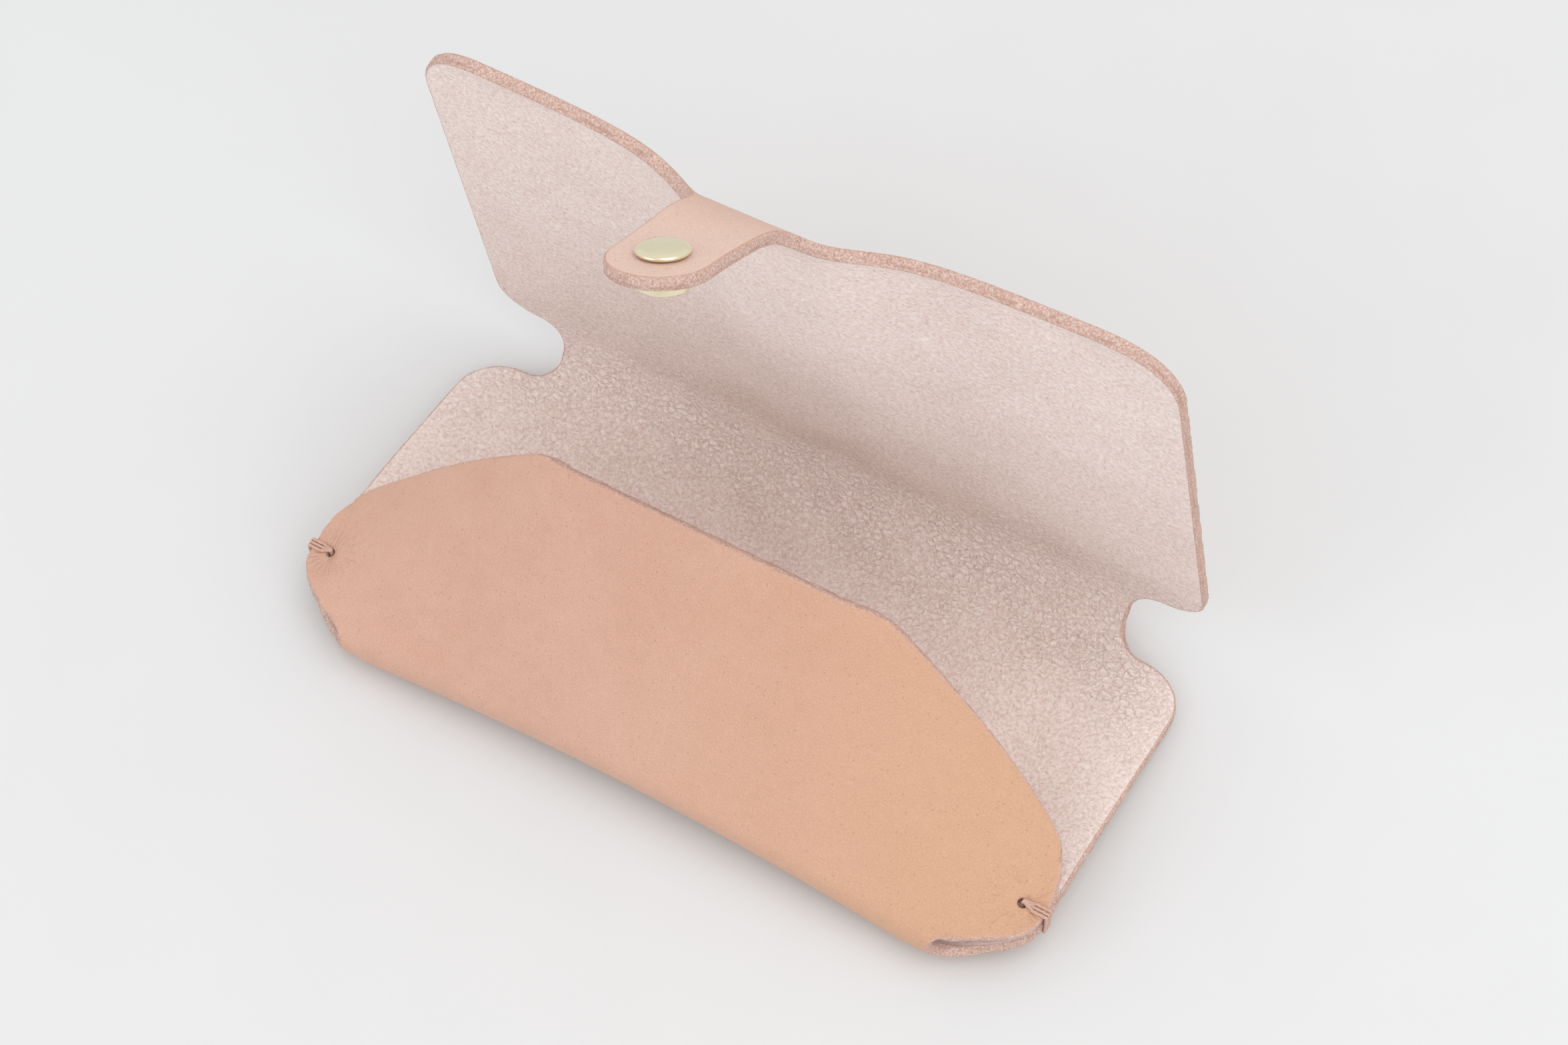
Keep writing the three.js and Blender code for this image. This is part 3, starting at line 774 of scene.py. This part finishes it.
def make_flesh():
    material, tree, shader = new_material("suede_flesh", Roughness=0.95, Sheen_Weight=0.18,
                                          Sheen_Roughness=0.6, Specular_IOR_Level=0.2)
    place, across, along, _ = cut_place(tree)
    tone = use(tree, cloudy_tone, Place=place, Patch_Size=42.0)["Tone"]
    torn = use(tree, torn_fibre, Place=place, Fibre_Size=1350.0, Nick_Share=0.34)
    colour = ramp(tree, tone, (0.34, linear(231, 211, 203)), (0.5, linear(239, 220, 213)),
                  (0.64, linear(245, 228, 222)))
    felted = ramp(tree, torn["Felt"], (0.36, linear(212, 186, 175)), (0.5, linear(240, 222, 215)),
                  (0.64, linear(254, 247, 242)))
    colour = mix(tree, 0.62, colour, felted)
    colour = mix(tree, times(tree, torn["Nicks"], 0.6), colour, linear(250, 240, 233))
    colour = mix(tree, times(tree, torn["Pits"], 0.4), colour, linear(164, 130, 118))
    # The flap fold is creased and cracked, most of all inside the bend. The crease lines are also darkened
    # with painted shade, most of all inside the bend.
    off_fold = maths(tree, "ABSOLUTE", minus(tree, along, HINGE_LINE * MM))
    bend = step_between(tree, off_fold, 0.004, 0.036, 1.0, 0.0)
    worn = step_between(tree, noise(tree, place, 75.0, Detail=3.0).outputs["Fac"], 0.4, 0.62)
    wavy = noise(tree, place, 520.0, Detail=3.0)
    moved = scaled(tree, wavy.outputs["Color"], (0.0022, 0.0022, 0.0022))
    lengthwise = scaled(tree, place, (0.7, 1.0, 1.0))
    lengthwise = shifted(tree, lengthwise, moved)
    crack = cells(tree, lengthwise, 760.0, feature="DISTANCE_TO_EDGE")
    crack = step_between(tree, crack, 0.0, 0.2, 1.0, 0.0)
    share = plus(tree, times(tree, bend, 0.7), times(tree, worn, 0.3))
    creases_and_painted_shade = times(tree, crack, share)
    # Painted shade: the crease lines are darkened.
    colour = mix(tree, times(tree, creases_and_painted_shade, 0.2), colour, linear(176, 146, 136))
    relief = minus(tree, torn["Height"], times(tree, creases_and_painted_shade, 0.55))
    bump = node(tree, "Bump", {"Strength": 0.7, "Distance": 0.0005, "Height": relief})
    tree.links.new(bump.outputs["Normal"], shader.inputs["Normal"])
    tree.links.new(colour, shader.inputs["Base Color"])
    return material


def make_edge():
    material, tree, shader = new_material("raw_edge", Roughness=0.9, Specular_IOR_Level=0.25)
    place, _, _, height = cut_place(tree)
    torn = use(tree, torn_fibre, Place=place, Fibre_Size=3000.0, Nick_Share=0.4)
    blotch = noise(tree, place, 2600.0, Detail=4.0, Roughness=0.7).outputs["Fac"]
    colour = ramp(tree, blotch, (0.36, linear(186, 148, 134)), (0.5, linear(210, 177, 164)),
                  (0.64, linear(232, 208, 198)))
    colour = mix(tree, times(tree, torn["Nicks"], 0.5), colour, linear(248, 234, 226))
    # The grain layer is denser and shows as a thin tan line; the cutter left a darker line by the flesh.
    dense = step_between(tree, height, -1.16 * MM, -0.8 * MM, 1.0, 0.0)
    colour = mix(tree, times(tree, dense, 0.5), colour, linear(214, 166, 144))
    uneven = noise(tree, place, 260.0, Detail=3.0).outputs["Fac"]
    off_line = maths(tree, "ABSOLUTE", minus(tree, height, 0.55 * MM))
    pressed = times(tree, step_between(tree, off_line, 0.05 * MM, 0.5 * MM, 1.0, 0.0),
                    step_between(tree, uneven, 0.4, 0.6))
    colour = mix(tree, times(tree, pressed, 0.5), colour, linear(176, 132, 116))
    bump = node(tree, "Bump", {"Strength": 0.7, "Distance": 0.0004, "Height": torn["Height"]})
    tree.links.new(bump.outputs["Normal"], shader.inputs["Normal"])
    tree.links.new(colour, shader.inputs["Base Color"])
    return material


def make_metal(name, colour, dull, roughness, rougher, scratch):
    material, tree, shader = new_material(name, Metallic=1.0)
    place = node(tree, "TexCoord").outputs["Object"]
    wear = use(tree, handled_metal, Place=place, Scratch_Size=scratch)["Wear"]
    worn_colour = mix(tree, step_between(tree, wear, 0.4, 0.65), colour, dull)
    tree.links.new(worn_colour, shader.inputs["Base Color"])
    tree.links.new(step_between(tree, wear, 0.35, 0.7, roughness, rougher), shader.inputs["Roughness"])
    bump = node(tree, "Bump", {"Strength": 0.02, "Distance": 0.00002, "Height": wear})
    tree.links.new(bump.outputs["Normal"], shader.inputs["Normal"])
    return material


def make_thread():
    material, tree, shader = new_material("waxed_thread", Roughness=0.6, Sheen_Weight=0.15)
    place = node(tree, "Attribute", attribute_name="lay").outputs["Vector"]
    parts = node(tree, "SeparateXYZ", {0: place}).outputs
    twist = plus(tree, times(tree, parts[0], 5200.0), times(tree, parts[1], 6667.0))
    ply = maths(tree, "SINE", twist)
    tone = noise(tree, place, 2500.0, Detail=3.0).outputs["Fac"]
    colour = ramp(tree, tone, (0.3, linear(198, 155, 137)), (0.7, linear(218, 180, 163)))
    colour = mix(tree, step_between(tree, ply, -1.0, -0.3, 0.3, 0.0), colour, linear(164, 116, 100))
    bump = node(tree, "Bump", {"Strength": 0.5, "Distance": 0.0001, "Height": ply})
    tree.links.new(bump.outputs["Normal"], shader.inputs["Normal"])
    tree.links.new(colour, shader.inputs["Base Color"])
    return material


grain_leather, suede_flesh, raw_edge = make_grain(), make_flesh(), make_edge()
pale_brass = make_metal("pale_brass", linear(242, 233, 202), linear(240, 231, 198), 0.26, 0.29, 900.0)
spring_wire = make_metal("spring_wire", linear(196, 198, 200), linear(176, 178, 182), 0.25, 0.4, 1400.0)
waxed_thread = make_thread()


# ---- the hide ----

main_edge, tab_edge = split_at_seam(RIGHT_EDGE)
seam_half = main_edge[-1, 0]
seam_line = np.stack([np.linspace(seam_half, -seam_half, 21)[1:-1], np.full(19, SEAM_ALONG)], 1)

main_edge = evenly(main_edge, 0.9)
main_outline = np.vstack([main_edge, seam_line, (main_edge[::-1] * [-1, 1])[:-1]])
on_seam = np.zeros(len(main_outline), bool)
on_seam[len(main_edge) - 1:len(main_edge) + len(seam_line) + 1] = True
tacks = [(side * TACK_X, face * TACK_FROM_FOLD) for side in (-1, 1) for face in (-1, 1)]
hide = leather_piece(
    "folded_hide", main_outline, on_seam,
    [(-10, 2.0), (10, 0.75), (HINGE_START - 4, 2.0), (HINGE_START + 28, 1.3), (1000, 2.0)],
    [(side * (TACK_X - 3), -TACK_FROM_FOLD, 7) for side in (-1, 1)],
    [(x, along, TACK_HOLE_RADIUS) for x, along in tacks] + [(0, STUD_AT, EYELET_POST + SEAM_GAP)], 11)

tab_edge = evenly(tab_edge, 0.7)
tab_outline = np.vstack([tab_edge, (tab_edge[::-1] * [-1, 1])[1:], seam_line[::-1]])
on_seam = np.zeros(len(tab_outline), bool)
on_seam[0] = True
on_seam[2 * len(tab_edge) - 2:] = True
tab = leather_piece(
    "closing_tab_leather", tab_outline, on_seam, [(1000, 1.5)], [],
    [(0, SNAP_AT, POST_RADIUS + SEAM_GAP)], 23)


# ---- threads ----

def tack_thread(name, side):
    """Strands that leave one hole, fan out over both edges of the ear and come back to it underneath."""
    clear = THREAD_RADIUS + 0.03
    front, back = middle(np.array([TACK_X] * 2), np.array([-TACK_FROM_FOLD, TACK_FROM_FOLD]))
    hole_y = (front[1] + back[1]) / 2
    points, faces, places = [], [], []

    def skin(reach, face, fan, off):
        along = np.array([face * (TACK_FROM_FOLD + fan)])
        reach = np.array([reach])
        point = (middle(reach, along) - directions(reach, along)[1] * off)[0]
        return np.array([point[0], hole_y + fan, point[2]])

    for i in range(STRAND_COUNT):
        fan = (i - (STRAND_COUNT - 1) / 2) * 2 * THREAD_RADIUS * 1.04
        reach = {face: half_width(face * (TACK_FROM_FOLD + fan)) for face in (-1, 1)}
        widest = max(reach.values()) + clear

        def beside(face):
            return np.array([widest, *skin(reach[face], face, fan, HALF)[1:]])

        def over(face):
            return [skin(TACK_X, face, fan * 0.2, HALF + clear),
                    skin(TACK_X + 1.2, face, fan * 0.6, HALF + clear),
                    skin(TACK_X + 2.6, face, fan, HALF + clear),
                    skin(TACK_X + 4, face, fan, HALF + clear),
                    skin(reach[face] - 0.1, face, fan, HALF + clear),
                    beside(face)]

        start = np.array([front[0] + fan * 0.15, hole_y, front[2] - HALF])
        end = np.array([back[0] + fan * 0.15, hole_y, back[2] + HALF])
        path = smooth_path([start, *over(-1), *over(1)[::-1], end], 9)
        path = (path * [side, 1, 1] - [0, CENTRE_Y, 0]) * MM
        made = strand(path, THREAD_RADIUS * MM, len(points))
        for kept, new in zip((points, faces, places), made):
            kept += new
    core = np.linspace([front[0], hole_y, front[2]], [back[0], hole_y, back[2]], 8)
    made = strand((core * [side, 1, 1] - [0, CENTRE_Y, 0]) * MM, THREAD_RADIUS * 2.3 * MM, len(points))
    for kept, new in zip((points, faces, places), made):
        kept += new
    piece = add_mesh(name, points, faces, [waxed_thread])
    note_places(piece, "lay", places)
    return piece


left_thread = tack_thread("tack_thread_left", -1)
right_thread = tack_thread("tack_thread_right", 1)


# ---- snap ----

tab_seat = in_leather(0, SNAP_AT, -HALF)[0]
tab_axis = -directions(np.zeros(1), np.array([SNAP_AT]))[1][0]
back_seat = in_leather(0, STUD_AT, -HALF)[0]
back_seat[2] = (middle(np.zeros(1), np.array([STUD_AT]))[0][2] - HALF) * MM

post_end = -(THICKNESS + 2 * SEAM_GAP + 1.0)
dome = [(CAP_RADIUS * 0.86 * k / 10, CAP_HEIGHT - 0.16 * (k / 10) ** 2) for k in range(11)]
cap = turned("brass_cap", [
    (0, post_end), (POST_RADIUS + 0.8, post_end), (POST_RADIUS + 0.8, post_end + 0.4),
    (POST_RADIUS, post_end + 0.4), (POST_RADIUS, SEAM_GAP + 0.3), (CAP_RADIUS - 0.95, SEAM_GAP + 0.3),
    (CAP_RADIUS - 0.95, SEAM_GAP)]
    + arc(CAP_RADIUS - 0.42, SEAM_GAP + 0.42, 0.42, -90, 60, 12)
    + dome[::-1], tab_seat, tab_axis, pale_brass)

floor_height = -(THICKNESS + SEAM_GAP) - 0.6
top, mouth = -(THICKNESS + SEAM_GAP), -(THICKNESS + SEAM_GAP + SOCKET_HEIGHT)
cavity, opening = SOCKET_RADIUS - 0.7, STUD_NUB + 0.45
post_hole = POST_RADIUS + SEAM_GAP
socket = turned("snap_socket_ring", [(post_hole, top), (post_hole, floor_height), (cavity, floor_height),
                (cavity, mouth + 0.5), (opening, mouth + 0.5)]
                + arc(opening + 0.12, mouth + 0.12, 0.12, 180, 270, 4)
                + arc(SOCKET_RADIUS - 0.5, mouth + 0.4, 0.4, -90, 0, 6)
                + [(SOCKET_RADIUS - 0.1, floor_height), (SOCKET_RADIUS, floor_height + 0.05),
                   (SOCKET_RADIUS, top - 0.05),
                   (SOCKET_RADIUS - 0.05, top), (post_hole, top)], tab_seat, tab_axis, pale_brass)

stud_top, stud_end, neck = -SEAM_GAP, -SEAM_GAP - STUD_HEIGHT, STUD_NUB - 0.35
bore = EYELET_POST + SEAM_GAP
stud = turned("snap_stud_post", [(bore, stud_top), (bore, stud_end)]
              + arc(STUD_NUB - 0.42, stud_end + 0.42, 0.42, -90, 0, 6)
              + [(STUD_NUB, stud_end + 1.1), (neck, stud_end + 1.6), (neck, stud_top - 0.75),
                 (STUD_FLANGE - 0.3, stud_top - 0.6)]
              + arc(STUD_FLANGE - 0.3, stud_top - 0.3, 0.3, -80, 0, 5)
              + [(STUD_FLANGE, stud_top), (bore, stud_top)],
              back_seat, (0, 0, 1), pale_brass)

head = THICKNESS + SEAM_GAP
eyelet = turned("stud_eyelet_head", [(0, -STUD_HEIGHT), (EYELET_POST, -STUD_HEIGHT), (EYELET_POST, head)]
                + [(EYELET_RADIUS - 0.15, head)] + arc(EYELET_RADIUS - 0.2, head + 0.2, 0.2, -60, 60, 6)
                + [(EYELET_RADIUS - 0.6, head + 0.46), (EYELET_RADIUS - 1.4, head + 0.6),
                   (EYELET_RADIUS * 0.4, head + 0.65),
                   (EYELET_RADIUS * 0.25, head + 0.55), (0, head + 0.52)], back_seat, (0, 0, 1), pale_brass)

WIRE_RADIUS = 0.25
ring_radius = cavity - SEAM_GAP - WIRE_RADIUS
ring_level = mouth + 0.5 + SEAM_GAP + WIRE_RADIUS
ring_side = Vector(tab_axis).orthogonal().normalized()
ring_other = Vector(tab_axis).cross(ring_side)
ring_turns = np.linspace(math.radians(14), 2 * math.pi - math.radians(14), 49)
ring_path = np.array([Vector(tab_seat) + (Vector(tab_axis) * ring_level + (ring_side * math.cos(t)
                      + ring_other * math.sin(t)) * ring_radius) * MM for t in ring_turns])
ring_points, ring_faces, _ = strand(ring_path, WIRE_RADIUS * MM, 0, 12)
spring = add_mesh("spring_ring", ring_points, ring_faces, [spring_wire])


# ---- bodies and replaced nodes ----

def fold_point(along):
    """The middle of the leather on the middle line, in metres in the shared frame."""
    return in_leather(0, along, 0)[0]


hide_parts("front_panel", "bottom_fold", "back_panel", "flap")
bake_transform(hide)
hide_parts("closing_tab")
tuple(fold_point(SEAM_ALONG))
tuple(fold_point(SEAM_ALONG + 14))
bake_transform(tab)
for piece, node_name, body, slot in (
        (left_thread, "thread_tack_left", "pocket", "waxed_thread"),
        (right_thread, "thread_tack_right", "pocket", "waxed_thread"),
        (stud, "snap_stud", "pocket", "pale_brass"),
        (eyelet, "stud_eyelet", "pocket", "pale_brass"),
        (cap, "snap_cap", "tab", "pale_brass"),
        (socket, "snap_socket", "tab", "pale_brass"),
        (spring, "socket_spring", "tab", "spring_wire")):
    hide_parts(node_name)
    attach(piece, body)


# ---- floor, light and camera ----

floor_material, floor_tree, floor_shader = new_material("pale_floor", Roughness=0.9, Specular_IOR_Level=0.1)
paper = noise(floor_tree, node(floor_tree, "TexCoord").outputs["Object"], 40.0).outputs["Fac"]
paper_colour = ramp(floor_tree, paper, (0.3, (0.73, 0.734, 0.738)), (0.7, (0.737, 0.741, 0.745)))
floor_tree.links.new(paper_colour, floor_shader.inputs["Base Color"])
REACH = 6.0
floor_corners = [(-REACH, -REACH, 0), (REACH, -REACH, 0), (REACH, REACH, 0), (-REACH, REACH, 0)]
floor_piece = add_mesh("floor", floor_corners, [(0, 1, 2, 3)], [floor_material])
floor_piece.location.z = -0.00005

world = bpy.data.worlds.new("studio")
bpy.context.scene.world = world
world.use_nodes = True
world.node_tree.nodes["Background"].inputs["Color"].default_value = (1, 1, 1, 1)
world.node_tree.nodes["Background"].inputs["Strength"].default_value = 0.84


def soft_light(name, place, aim, size, power, colour=(1, 1, 1)):
    lamp = bpy.data.lights.new(name, "AREA")
    lamp.shape, lamp.size, lamp.energy, lamp.color = "DISK", size, power, colour
    holder = bpy.data.objects.new(name, lamp)
    holder.location = place
    holder.rotation_euler = (Vector(aim) - Vector(place)).to_track_quat("-Z", "Y").to_euler()
    bpy.context.scene.collection.objects.link(holder)


soft_light("overhead_softbox", (0.45, 0.05, 1.3), (0, 0, 0.03), 1.2, 4.4)
soft_light("front_fill", (-0.7, -1.1, 0.8), (0, 0, 0.05), 1.0, 3.0)
soft_light("right_fill", (1.1, -0.6, 0.9), (0, 0.03, 0.03), 1.0, 3.4)

azimuth, elevation, roll = math.radians(32.56), math.radians(56.93), math.radians(-2.87)
backwards = Vector((math.cos(elevation) * math.sin(azimuth), -math.cos(elevation) * math.cos(azimuth),
                    math.sin(elevation)))
level = Vector((math.cos(azimuth), math.sin(azimuth), 0))
upright = backwards.cross(level)
right = level * math.cos(roll) + upright * math.sin(roll)
up = backwards.cross(right)
lens = bpy.data.cameras.new("camera")
lens.lens, lens.sensor_width, lens.clip_start = 59.25, 36.0, 0.01
camera = bpy.data.objects.new("camera", lens)
camera.matrix_world = Matrix((right, up, backwards)).transposed().to_4x4()
camera.location = (0.1507, -0.21685, 0.4488)
bpy.context.scene.collection.objects.link(camera)
bpy.context.scene.camera = camera
bpy.context.scene.view_settings.view_transform = "Standard"
